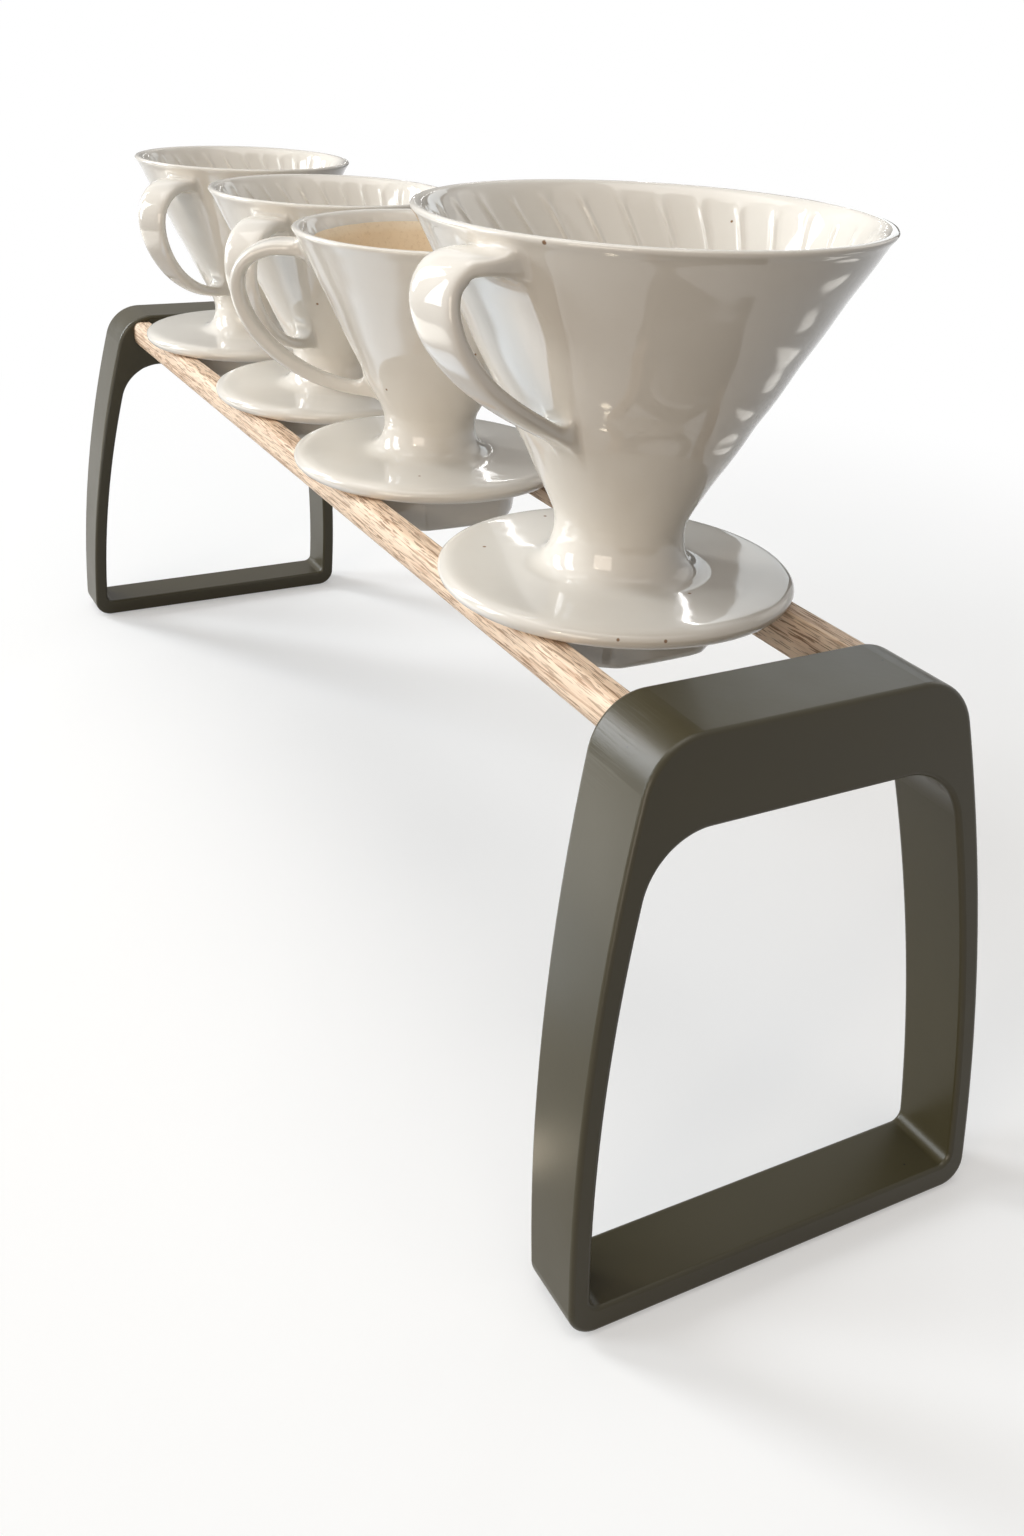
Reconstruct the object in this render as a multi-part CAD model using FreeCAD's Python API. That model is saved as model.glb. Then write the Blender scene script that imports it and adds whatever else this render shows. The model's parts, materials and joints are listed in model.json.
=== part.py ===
import FreeCAD, Part
import math
import os
from FreeCAD import Vector

# Pour-over stand: two cast end frames joined by two oak rails, with four one-piece
# ceramic cone drippers standing on the rails. Millimetres, +Z up, +Y along the rails.
# The origin is the middle of the near foot strip's underside, on the bench.

# End frame, seen along the rails
FRAME_HEIGHT = 153.0        # underside of the foot bar to the top face
FOOT_WIDTH = 131.5          # across the outside of the legs at the bench
SHOULDER_WIDTH = 87.0       # across the outside where the legs would meet the top face
LEG_BOW = 5.5               # how far each leg bows out of a straight line
LEG_WIDTH_FOOT = 6.0        # leg width just above the foot bar
LEG_WIDTH_SHOULDER = 7.0    # leg width just below the top bar
FOOT_BAR = 7.6              # depth of the bar on the bench
TOP_BAR = 22.6              # depth of the bar that carries the rails
SHOULDER_ROUND = 16.0       # outside corners at the top
HEEL_ROUND = 7.5            # outside corners at the bench
ARMPIT_ROUND = 18.5         # inside corners under the top bar
INSTEP_ROUND = 3.2          # inside corners above the foot bar

# End frame, seen from the side
FOOT_PITCH = 491.0          # between the middles of the two feet
FOOT_DEPTH = 21.0           # along the rails at the bench
SHOULDER_DEPTH = 25.0       # along the rails at the top face
SPLAY = 26.0                # how far the outer face leans inwards from bench to top
EDGE_ROUND = 1.3            # soft edge all round both faces

# Rails: flat on top and on the inner side, rounded on the outer side
RAIL_DROP = 2.8             # top of the rails below the top face of the frames
RAIL_WIDTH = 7.4
RAIL_HEIGHT = 12.0
RAIL_GAP = 64.6             # clear width between the two rails
RAIL_SHOULDER_ROUND = 3.0   # outer top edge
RAIL_BELLY_ROUND = 6.2      # outer bottom edge
RAIL_ARRIS = 0.7            # inner edges
TENON_LENGTH = 12.0         # rail end let into the frame
SOCKET_CLEARANCE = 0.1

# Screws that hold each rail end, driven up from under the top bar
SCREW_RADIUS = 1.75
SCREW_HEAD_RADIUS = 3.5
SCREW_HEAD_HEIGHT = 2.4
SCREW_BITE = 8.0            # length inside the rail
SCREW_SEAT = 4.4            # metal between the head and the rail
SCREW_CLEARANCE = 0.15
HEAD_CLEARANCE = 0.4
DRIVE_WIDTH = 0.9
DRIVE_SPAN = 3.6
DRIVE_DEPTH = 1.2

# Rubber strip under each foot
STRIP_LENGTH = 92.0
STRIP_WIDTH = 10.0
STRIP_THICKNESS = 1.6
STRIP_PROUD = 0.6           # what stands out of its groove

# Drippers: common sizes
SAUCER_THICKNESS = 5.4
SAUCER_DISH = 1.0           # hollow of the saucer's upper face
SAUCER_CLEARANCE = 0.7      # from the last saucer to the far frame
SAUCER_GAPS = (18.5, 0.8, 7.5)   # between neighbouring saucers, near to far
DRIPPER_SHIFTS = (0.6, -2.4, 0.0, 0.0)   # off the middle line, within the play of the skirts
WALL = 3.4                  # cone wall at the rim
LIP_ROUND = 1.2
NECK_FILLET = 7.0
COLLAR_HEIGHT = 14.0         # skirt under the saucer, between the rails
COLLAR_FLAT = 51.0          # across the two flats of the skirt
COLLAR_RADIUS = 29.0
COLLAR_BORE = 22.0
RIB_COUNT = 30
RIB_HEIGHT = 1.0
RIB_BASE = 2.2
RIB_TWIST = -50.0            # degrees from the first rib level to the outlet
RIB_START = 4.0             # smooth band below the rim
RIB_BANDS = 3

# Large dripper
LARGE_RIM_RADIUS = 57.4
LARGE_RIM_HEIGHT = 92.0     # above the rails
LARGE_SAUCER_RADIUS = 48.5
LARGE_NECK_RADIUS = 17.0
LARGE_NECK_HEIGHT = 18.0
LARGE_OUTLET_RADIUS = 9.0
LARGE_HANDLE_REACH = 69.5   # from the axis to the outside of the handle
LARGE_HANDLE_TOP = 84.5       # where its middle line leaves the cone
LARGE_HANDLE_FOOT = 44.0      # and where it comes back
LARGE_HANDLE_ELBOW = 75.5
LARGE_HANDLE_SAG = 6.0        # of the lower run below a straight line
LARGE_HANDLE_WIDTH = 16.0
LARGE_HANDLE_THICKNESS = 5.0

# Small dripper
SMALL_RIM_RADIUS = 43.6
SMALL_RIM_HEIGHT = 72.0
SMALL_SAUCER_RADIUS = 45.0
SMALL_NECK_RADIUS = 14.5
SMALL_NECK_HEIGHT = 15.5
SMALL_OUTLET_RADIUS = 8.0
SMALL_HANDLE_REACH = 63.4
SMALL_HANDLE_TOP = 64.5
SMALL_HANDLE_FOOT = 24.0
SMALL_HANDLE_ELBOW = 52.0
SMALL_HANDLE_SAG = 9.1
SMALL_HANDLE_WIDTH = 14.0
SMALL_HANDLE_THICKNESS = 4.8

HANDLE_TAPER = 0.42          # width at the lower end over width at the top
HANDLE_EDGE_ROUND = 1.6
HANDLE_SECTIONS = 11
HANDLE_TURNS = (15.0, -28.0, 40.0, 36.0)   # degrees from -X, towards the near end

# Paper filter in the second dripper
PAPER = 0.4
PAPER_DROP = 3.5            # top edge below the rim
PAPER_CLEARANCE = 0.15      # from the rib crests

# Worked-out places
BENCH = -STRIP_PROUD
RAIL_TOP = FRAME_HEIGHT - RAIL_DROP
RAIL_BOTTOM = RAIL_TOP - RAIL_HEIGHT
RAIL_MIDDLE = (RAIL_GAP + RAIL_WIDTH) / 2
LIFT = Vector(0, 0, STRIP_PROUD)


def face_y(z, inner):
    """Y of the near frame's outer or inner face at height z."""
    share = z / FRAME_HEIGHT
    outer = -FOOT_DEPTH / 2 + SPLAY * share
    depth = FOOT_DEPTH + (SHOULDER_DEPTH - FOOT_DEPTH) * share
    return outer + depth if inner else outer


def rounded(solid, radius, edges):
    return solid.makeFillet(radius, edges) if edges else solid


def edges_along_y(solid, z, x=None):
    """Straight edges parallel to Y at height z, and at a given x where one is stated."""
    found = []
    for edge in solid.Edges:
        ends = [v.Point for v in edge.Vertexes]
        if len(ends) != 2 or abs(ends[0].x - ends[1].x) + abs(ends[0].z - ends[1].z) > 1e-6:
            continue
        if abs(ends[0].z - z) < 1e-6 and (x is None or abs(ends[0].x - x) < 1e-6):
            found.append(edge)
    return found


def bowed_block(half_low, half_high, z_low, z_high, bow, low_round, high_round, y_low, y_high):
    """Block with flat top and bottom and bowed sides, with its four long edges rounded."""
    middle = (half_low + half_high) / 2 + bow
    z_middle = (z_low + z_high) / 2
    corners = [Vector(-half_low, y_low, z_low), Vector(half_low, y_low, z_low),
               Vector(half_high, y_low, z_high), Vector(-half_high, y_low, z_high)]
    edges = [
        Part.LineSegment(corners[0], corners[1]).toShape(),
        Part.Arc(corners[1], Vector(middle, y_low, z_middle), corners[2]).toShape(),
        Part.LineSegment(corners[2], corners[3]).toShape(),
        Part.Arc(corners[3], Vector(-middle, y_low, z_middle), corners[0]).toShape(),
    ]
    block = Part.Face(Part.Wire(edges)).extrude(Vector(0, y_high - y_low, 0))
    block = rounded(block, low_round, edges_along_y(block, z_low))
    return rounded(block, high_round, edges_along_y(block, z_high))


def side_prism():
    """What the side view keeps of the loop: a foot that stands flat and a leaning upright."""
    top = FRAME_HEIGHT
    half = FOOT_WIDTH
    points = [Vector(-half, face_y(0, False), 0), Vector(-half, face_y(0, True), 0),
              Vector(-half, face_y(top, True), top), Vector(-half, face_y(top, False), top)]
    face = Part.Face(Part.makePolygon(points + points[:1]))
    return face.extrude(Vector(2 * half, 0, 0))


def on_a_face(edge):
    """True for an edge that lies in the frame's outer or inner face."""
    tests = [edge.valueAt(edge.FirstParameter + t * (edge.LastParameter - edge.FirstParameter))
             for t in (0.0, 0.37, 1.0)]
    return any(all(abs(p.y - face_y(p.z, inner)) < 1e-4 for p in tests) for inner in (False, True))


def leg_half(z, half_low, half_high, z_low, z_high):
    """Half width between the bowed sides at height z, near enough for placing."""
    t = (z - z_low) / (z_high - z_low)
    return half_low + (half_high - half_low) * t + 4 * LEG_BOW * t * (1 - t)


def rail_section(grow, y_low, y_high):
    """A right-hand rail or, grown by the clearance, the socket for its end."""
    x_low = RAIL_GAP / 2 - grow
    x_high = RAIL_GAP / 2 + RAIL_WIDTH + grow
    z_low = RAIL_BOTTOM - grow
    z_high = RAIL_TOP + grow
    bar = Part.makeBox(x_high - x_low, y_high - y_low, z_high - z_low, Vector(x_low, y_low, z_low))
    bar = rounded(bar, RAIL_SHOULDER_ROUND, edges_along_y(bar, z_high, x_high))
    bar = rounded(bar, RAIL_BELLY_ROUND, edges_along_y(bar, z_low, x_high))
    inner = edges_along_y(bar, z_low, x_low) + edges_along_y(bar, z_high, x_low)
    return rounded(bar, RAIL_ARRIS, inner)


def mirrored_x(shape):
    return shape.mirror(Vector(0, 0, 0), Vector(1, 0, 0))


def mirrored_y(shape):
    return shape.mirror(Vector(0, FOOT_PITCH / 2, 0), Vector(0, 1, 0))


def rail_end_y():
    """Y of the near end of the rails, at the bottom of the sockets."""
    return face_y(RAIL_BOTTOM, True) - TENON_LENGTH


def screw_y():
    return rail_end_y() + TENON_LENGTH / 2


def seat_z():
    """Height of the screw head's seat."""
    return RAIL_BOTTOM - SCREW_SEAT


def screw_cutters():
    """Clearance hole and counterbore under the right-hand socket."""
    at = Vector(RAIL_MIDDLE, screw_y(), seat_z())
    hole = Part.makeCylinder(SCREW_RADIUS + SCREW_CLEARANCE, SCREW_SEAT + SCREW_BITE, at)
    depth = 2 * ARMPIT_ROUND
    bore = Part.makeCylinder(SCREW_HEAD_RADIUS + HEAD_CLEARANCE, depth, at - Vector(0, 0, depth))
    return [hole, bore]


def strip_blank(grow, z_low, z_high):
    """Foot strip with round ends or, grown, its groove."""
    radius = STRIP_WIDTH / 2 + grow
    reach = STRIP_LENGTH / 2 - STRIP_WIDTH / 2
    height = z_high - z_low
    body = Part.makeBox(2 * reach, 2 * radius, height, Vector(-reach, -radius, z_low))
    ends = [Part.makeCylinder(radius, height, Vector(s * reach, 0, z_low)) for s in (-1, 1)]
    return body.multiFuse(ends).removeSplitter()


def near_frame():
    half_foot = FOOT_WIDTH / 2
    half_shoulder = SHOULDER_WIDTH / 2
    z_inner_top = FRAME_HEIGHT - TOP_BAR
    span = (half_foot, half_shoulder, 0, FRAME_HEIGHT)
    y_low = -2 * FOOT_DEPTH
    y_high = 2 * FOOT_DEPTH + SPLAY
    outer = bowed_block(*span, LEG_BOW, HEEL_ROUND, SHOULDER_ROUND, y_low, y_high)
    inner = bowed_block(leg_half(FOOT_BAR, *span) - LEG_WIDTH_FOOT,
                        leg_half(z_inner_top, *span) - LEG_WIDTH_SHOULDER,
                        FOOT_BAR, z_inner_top, LEG_BOW * 0.75,
                        INSTEP_ROUND, ARMPIT_ROUND, y_low, y_high)
    frame = outer.cut(inner).common(side_prism())
    frame = rounded(frame, EDGE_ROUND, [e for e in frame.Edges if on_a_face(e)])
    socket = rail_section(SOCKET_CLEARANCE, rail_end_y(), FOOT_DEPTH + SPLAY + SHOULDER_DEPTH)
    cutters = [socket] + screw_cutters()
    cutters += [mirrored_x(c) for c in cutters]
    groove = strip_blank(SOCKET_CLEARANCE, -1.0, STRIP_THICKNESS - STRIP_PROUD)
    return frame.cut(cutters + [groove])


def rail(side):
    """Rail with a pilot hole for the screw near each end."""
    body = rail_section(0.0, rail_end_y(), FOOT_PITCH - rail_end_y())
    pilot = Part.makeCylinder(SCREW_RADIUS, SCREW_BITE, Vector(RAIL_MIDDLE, screw_y(), RAIL_BOTTOM))
    body = body.cut([pilot, mirrored_y(pilot)])
    return mirrored_x(body) if side < 0 else body


def screw(side, far):
    """Round-headed wood screw with a cross recess, head down."""
    at = Vector(RAIL_MIDDLE, screw_y(), seat_z())
    shank = Part.makeCylinder(SCREW_RADIUS, SCREW_SEAT + SCREW_BITE, at)
    head = Part.makeCylinder(SCREW_HEAD_RADIUS, SCREW_HEAD_HEIGHT, at - Vector(0, 0, SCREW_HEAD_HEIGHT))
    low = at.z - SCREW_HEAD_HEIGHT
    rim = [e for e in head.Edges if e.Closed and abs(e.BoundBox.ZMax - low) < 1e-6]
    head = rounded(head, SCREW_HEAD_HEIGHT * 0.6, rim)
    body = head.fuse(shank)
    for long_x in (True, False):
        size = (DRIVE_SPAN, DRIVE_WIDTH) if long_x else (DRIVE_WIDTH, DRIVE_SPAN)
        corner = Vector(at.x - size[0] / 2, at.y - size[1] / 2, low)
        body = body.cut(Part.makeBox(size[0], size[1], DRIVE_DEPTH, corner))
    body = mirrored_x(body) if side < 0 else body
    return mirrored_y(body) if far else body


def revolve_profile(edges):
    face = Part.Face(Part.Wire(edges))
    return face.revolve(Vector(0, 0, 0), Vector(0, 0, 1), 360)


def polyline_edges(points):
    return [Part.LineSegment(a, b).toShape() for a, b in zip(points, points[1:])]


def dripper_turning(size):
    """Solid of revolution: saucer, neck and cone, with no hollow yet."""
    rim = size["rim"]
    top = size["height"]
    saucer = size["saucer"]
    neck = size["neck"]
    edge = SAUCER_THICKNESS / 2
    points = [Vector(0, 0, 0), Vector(saucer - edge, 0, 0)]
    crown = Vector(saucer - edge, 0, SAUCER_THICKNESS)
    lip = Part.Arc(points[1], Vector(saucer, 0, edge), crown).toShape()
    root = Vector(neck + NECK_FILLET, 0, SAUCER_THICKNESS - SAUCER_DISH / 2)
    dish = Part.Arc(crown, Vector((crown.x + root.x) / 2, 0, SAUCER_THICKNESS - SAUCER_DISH), root).toShape()
    waist = Vector(neck, 0, size["neck_height"])
    bend = Vector(neck + NECK_FILLET * 0.22, 0, root.z + (waist.z - root.z) * 0.35)
    fillet = Part.Arc(root, bend, waist).toShape()
    upper = [waist, Vector(rim, 0, top - LIP_ROUND), Vector(rim - LIP_ROUND / 2, 0, top), Vector(0, 0, top)]
    edges = polyline_edges(points) + [lip, dish, fillet] + polyline_edges(upper)
    edges.append(Part.LineSegment(upper[-1], points[0]).toShape())
    return revolve_profile(edges)


def inner_radius(size, z):
    """Radius of the brewing cone's inner wall at height z."""
    slope = (size["rim"] - size["neck"]) / (size["height"] - size["neck_height"])
    return size["rim"] - WALL - (size["height"] - z) * slope


def rib_level(size, radius, turn):
    """Closed outline of the ribbed hollow at one level: a flat between ribs, then a crest."""
    slope = (size["rim"] - size["neck"]) / (size["height"] - size["neck_height"])
    z = size["height"] - (size["rim"] - WALL - radius) / slope
    half = math.degrees(min(RIB_BASE / 2, radius * math.pi / RIB_COUNT * 0.45) / radius)
    points = []
    for i in range(RIB_COUNT):
        middle = turn + i * 360.0 / RIB_COUNT
        crest = radius - min(RIB_HEIGHT, radius * 0.08)
        for angle, r in ((middle - half, radius), (middle, crest), (middle + half, radius)):
            a = math.radians(angle)
            points.append(Vector(r * math.cos(a), r * math.sin(a), z))
    return Part.makePolygon(points + points[:1])


def dripper_hollow(size):
    """Cutters for the inside: smooth band under the rim, spiral ribs, outlet and skirt bore."""
    top = size["height"]
    start = top - RIB_START
    r_start = inner_radius(size, start)
    r_mouth = inner_radius(size, top + 1.0)
    mouth = Part.makeCone(r_start, r_mouth, top + 1.0 - start, Vector(0, 0, start))
    ratio = (size["outlet"] / r_start) ** (1.0 / RIB_BANDS)
    levels = [rib_level(size, r_start * ratio ** i, RIB_TWIST * i / RIB_BANDS) for i in range(RIB_BANDS + 1)]
    ribs = Part.makeLoft(levels, True, True)
    floor = ribs.BoundBox.ZMin
    outlet = Part.makeCylinder(size["outlet"] * 0.97, floor + 2.0, Vector(0, 0, -1.0))
    bore = Part.makeCylinder(COLLAR_BORE, COLLAR_HEIGHT + 1.0, Vector(0, 0, -COLLAR_HEIGHT - 1.0))
    return [mouth, ribs, outlet, bore]


def collar():
    """Skirt under the saucer: a ring with two flats that face along the rails."""
    ring = Part.makeCylinder(COLLAR_RADIUS, COLLAR_HEIGHT + 0.5, Vector(0, 0, -COLLAR_HEIGHT))
    wide = 2 * COLLAR_RADIUS
    keep = Part.makeBox(wide, COLLAR_FLAT, 3 * COLLAR_HEIGHT,
                        Vector(-wide / 2, -COLLAR_FLAT / 2, -1.5 * COLLAR_HEIGHT))
    return ring.common(keep)


def strap_section(at, across, half, deep):
    """Flat section with cut corners, square to the handle's path."""
    r = HANDLE_EDGE_ROUND
    quarter = [(half, deep - r), (half - r, deep)]
    upper = quarter + [(-y, d) for y, d in reversed(quarter)]
    ring = upper + [(-y, -d) for y, d in upper]
    points = [at + Vector(0, y, 0) + across * d for y, d in ring]
    return Part.makePolygon(points + points[:1])


def handle(size):
    """Strap handle in the XZ plane towards -X: a bent band, wide at the rim and narrow below."""
    top = size["height"]
    reach = size["reach"]
    thick = size["strap"]
    slope = (size["rim"] - size["neck"]) / (top - size["neck_height"])

    def outside(z):
        return size["rim"] - (top - z) * slope

    z_top = size["handle_top"]
    z_foot = size["handle_foot"]
    elbow = Vector(-reach + thick / 2, 0, size["elbow"])
    throw = -elbow.x - outside(z_top)
    root = Vector(-outside(z_foot), 0, z_foot)
    path = [
        Vector(-outside(z_top) + thick, 0, z_top),
        Vector(-outside(z_top) - throw * 0.55, 0, z_top - thick * 0.25),
        elbow,
    ]
    for share, sag in ((0.25, 1.15), (0.5, 1.0), (0.75, 0.6)):
        path.append(elbow + (root - elbow) * share - Vector(0, 0, size["sag"] * sag))
    path.append(root + Vector(thick, 0, -thick * 0.2))
    curve = Part.BSplineCurve()
    curve.interpolate(path)
    sections = []
    for i in range(HANDLE_SECTIONS):
        share = i / (HANDLE_SECTIONS - 1)
        at = curve.value(curve.FirstParameter + (curve.LastParameter - curve.FirstParameter) * share)
        along = curve.tangent(curve.parameter(at))[0]
        across = along.cross(Vector(0, 1, 0))
        half = size["width"] / 2 * (1 - (1 - HANDLE_TAPER) * share)
        sections.append(strap_section(at, across, half, thick / 2))
    return Part.makeLoft(sections, True, False)


def dripper(size, turn, x, y):
    """One glazed piece: turned body, skirt and turned handle, hollowed and set on the rails."""
    grip = handle(size)
    grip.rotate(Vector(0, 0, 0), Vector(0, 0, 1), turn)
    body = dripper_turning(size).fuse([collar(), grip])
    body = body.cut(dripper_hollow(size)).removeSplitter()
    body.translate(Vector(x, y, RAIL_TOP))
    return body


def paper_filter(size, x, y):
    """Folded paper cone standing on the rib crests, its point in the outlet."""
    slope = (size["rim"] - size["neck"]) / (size["height"] - size["neck_height"])
    top = size["height"] - PAPER_DROP
    r_top = inner_radius(size, top) - RIB_HEIGHT - PAPER_CLEARANCE
    points = [Vector(0, 0, top - r_top / slope), Vector(r_top, 0, top),
              Vector(r_top - PAPER, 0, top), Vector(0, 0, top - (r_top - PAPER) / slope)]
    body = revolve_profile(polyline_edges(points + points[:1]))
    body.translate(Vector(x, y, RAIL_TOP))
    return body


LARGE = {"rim": LARGE_RIM_RADIUS, "height": LARGE_RIM_HEIGHT, "saucer": LARGE_SAUCER_RADIUS,
         "neck": LARGE_NECK_RADIUS, "neck_height": LARGE_NECK_HEIGHT, "outlet": LARGE_OUTLET_RADIUS,
         "reach": LARGE_HANDLE_REACH, "width": LARGE_HANDLE_WIDTH, "strap": LARGE_HANDLE_THICKNESS,
         "handle_top": LARGE_HANDLE_TOP, "handle_foot": LARGE_HANDLE_FOOT, "elbow": LARGE_HANDLE_ELBOW,
         "sag": LARGE_HANDLE_SAG}
SMALL = {"rim": SMALL_RIM_RADIUS, "height": SMALL_RIM_HEIGHT, "saucer": SMALL_SAUCER_RADIUS,
         "neck": SMALL_NECK_RADIUS, "neck_height": SMALL_NECK_HEIGHT, "outlet": SMALL_OUTLET_RADIUS,
         "reach": SMALL_HANDLE_REACH, "width": SMALL_HANDLE_WIDTH, "strap": SMALL_HANDLE_THICKNESS,
         "handle_top": SMALL_HANDLE_TOP, "handle_foot": SMALL_HANDLE_FOOT, "elbow": SMALL_HANDLE_ELBOW,
         "sag": SMALL_HANDLE_SAG}


def dripper_places():
    """Size, X and Y of each dripper, near to far: the last saucer stands clear of the far frame."""
    sizes = [LARGE, SMALL, SMALL, SMALL]
    far_face = FOOT_PITCH - face_y(RAIL_TOP + SAUCER_THICKNESS, True)
    places = [far_face - SAUCER_CLEARANCE - sizes[-1]["saucer"]]
    for here, beyond, gap in zip(sizes[-2::-1], sizes[:0:-1], SAUCER_GAPS[::-1]):
        places.insert(0, places[0] - here["saucer"] - beyond["saucer"] - gap)
    return list(zip(sizes, DRIPPER_SHIFTS, places))


def build():
    pieces = {}
    near = near_frame()
    pieces["near_end_frame"] = near
    pieces["far_end_frame"] = mirrored_y(near)
    pieces["left_rail"] = rail(-1)
    pieces["right_rail"] = rail(1)
    for row, far in (("near", False), ("far", True)):
        for side, name in ((-1, "left"), (1, "right")):
            pieces["%s_%s_rail_screw" % (row, name)] = screw(side, far)
    strip = strip_blank(0.0, BENCH, STRIP_THICKNESS - STRIP_PROUD)
    pieces["near_foot_strip"] = strip
    pieces["far_foot_strip"] = mirrored_y(strip)
    for index, (size, x, y) in enumerate(dripper_places()):
        pieces["dripper_%d" % (index + 1)] = dripper(size, HANDLE_TURNS[index], x, y)
        if index == 1:
            pieces["paper_filter"] = paper_filter(size, x, y)
    return pieces


def main():
    os.makedirs("parts", exist_ok=True)
    for name, shape in build().items():
        shape.translate(LIFT)
        solid = shape.Solids[0] if len(shape.Solids) == 1 else shape
        print("%-24s solids %d valid %s volume %.0f mm3"
              % (name, len(shape.Solids), shape.isValid(), shape.Volume))
        solid.exportStep("parts/%s.step" % name)


main()
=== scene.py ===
# %% [markdown]
# # A pour-over dripper stand
# Two painted end frames lean towards each other and carry two oak rails. Four glazed cone drippers
# stand on the rails, one large and three small, and the second one holds a paper filter.
# The solids come from CAD, already in place and in metres. This lesson gives them their surfaces
# and models again, with smooth meshes, the pieces whose facets or creases would show.

# %% Load the solids and keep their box
import json
import math
import bmesh
import bpy
from mathutils import Matrix, Vector


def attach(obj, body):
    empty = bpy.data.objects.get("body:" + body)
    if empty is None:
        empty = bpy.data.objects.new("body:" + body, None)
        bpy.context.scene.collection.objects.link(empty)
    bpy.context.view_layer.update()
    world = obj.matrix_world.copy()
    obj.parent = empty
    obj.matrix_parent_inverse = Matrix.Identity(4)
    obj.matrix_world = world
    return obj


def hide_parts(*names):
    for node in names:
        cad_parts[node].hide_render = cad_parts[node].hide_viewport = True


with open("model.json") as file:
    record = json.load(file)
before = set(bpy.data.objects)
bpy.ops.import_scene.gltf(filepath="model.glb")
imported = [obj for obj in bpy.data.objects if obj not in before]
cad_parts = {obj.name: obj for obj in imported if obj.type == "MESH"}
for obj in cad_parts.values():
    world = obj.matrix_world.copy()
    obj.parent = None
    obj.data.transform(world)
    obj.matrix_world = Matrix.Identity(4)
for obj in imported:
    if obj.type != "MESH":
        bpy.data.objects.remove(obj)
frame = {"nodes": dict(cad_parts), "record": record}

bpy.context.view_layer.update()
MM = 0.001

# %% [markdown]
# ## Camera
# The photograph looks down on the near frame from its left. The camera's place, direction and
# focal length were found by fitting known corners and rims of the stand to the picture. The
# picture was cropped off centre, so the camera has a small shift.

# %% Place the camera
IMAGE_WIDTH = 1024
IMAGE_HEIGHT = 1536
EYE = Vector((-193.59, -183.22, 284.07)) * MM
YAW = 0.49744          # to the right of +Y
PITCH = -0.57400       # below the horizon
ROLL = 0.05127
FOCAL_PIXELS = 1326.96
CENTRE_X = 476.37
CENTRE_Y = 849.22


def add_object(name, data):
    """New object in the scene, at the origin."""
    thing = bpy.data.objects.new(name, data)
    bpy.context.scene.collection.objects.link(thing)
    return thing


def camera_turn(yaw, pitch, roll):
    """Rotation whose columns are the camera's right, up and backward directions."""
    forward = Vector((math.sin(yaw) * math.cos(pitch), math.cos(yaw) * math.cos(pitch), math.sin(pitch)))
    level = Vector((math.cos(yaw), -math.sin(yaw), 0.0))
    upright = level.cross(forward)
    right = math.cos(roll) * level + math.sin(roll) * upright
    up = math.cos(roll) * upright - math.sin(roll) * level
    return Matrix((right, up, -forward)).transposed()


camera = add_object("camera", bpy.data.cameras.new("camera"))
camera.matrix_world = Matrix.Translation(EYE) @ camera_turn(YAW, PITCH, ROLL).to_4x4()
camera.data.sensor_fit = "VERTICAL"
camera.data.sensor_height = 36.0
camera.data.lens = FOCAL_PIXELS * camera.data.sensor_height / IMAGE_HEIGHT
camera.data.shift_x = (IMAGE_WIDTH / 2 - CENTRE_X) / IMAGE_HEIGHT
camera.data.shift_y = (CENTRE_Y - IMAGE_HEIGHT / 2) / IMAGE_HEIGHT
camera.data.clip_start = 0.01
bpy.context.scene.camera = camera
print("lens %.1f mm" % camera.data.lens)

# %% [markdown]
# ## Light, floor and background
# Two tall window panes stand to the left, behind the row, so surfaces that face left are bright
# and the faces towards the camera are in soft shade. The bright edge on the saucers shows where
# they are: a highlight lies where the surface mirrors the lamp. A narrower window stands to the
# right, with two slits of light beside it, and weak warm lamps stand for light that comes back
# from the walls and the ceiling. A sunlit curtain edge and one small lamp draw highlights.

# %% Set the view and add the lamps
scene = bpy.context.scene
scene.view_settings.view_transform = "Standard"
MIDDLE = Vector((0.0, 0.245, 0.15))
BENCH_MIDDLE = (MIDDLE.x, MIDDLE.y, 0.0)
WHITE = (1.0, 1.0, 1.0)
LAMP_LIGHT = (1.0, 0.86, 0.66)


def add_window(name, azimuth, elevation, distance, size, power, colour, lean=0.0):
    """Rectangular lamp that faces the stand.

    Azimuth is counted from the far end towards the right side, and lean turns the lamp in its
    own plane. Both are in degrees, as is the elevation.
    """
    lamp = bpy.data.lights.new(name, "AREA")
    lamp.shape = "RECTANGLE"
    lamp.size, lamp.size_y = size
    lamp.energy = power
    lamp.color = colour
    holder = add_object(name, lamp)
    turn, climb = math.radians(azimuth), math.radians(elevation)
    way = Vector((math.sin(turn) * math.cos(climb), math.cos(turn) * math.cos(climb), math.sin(climb)))
    holder.matrix_world = (Matrix.Translation(MIDDLE + way * distance)
                           @ way.to_track_quat("Z", "Y").to_matrix().to_4x4()
                           @ Matrix.Rotation(math.radians(lean), 4, "Z"))


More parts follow.
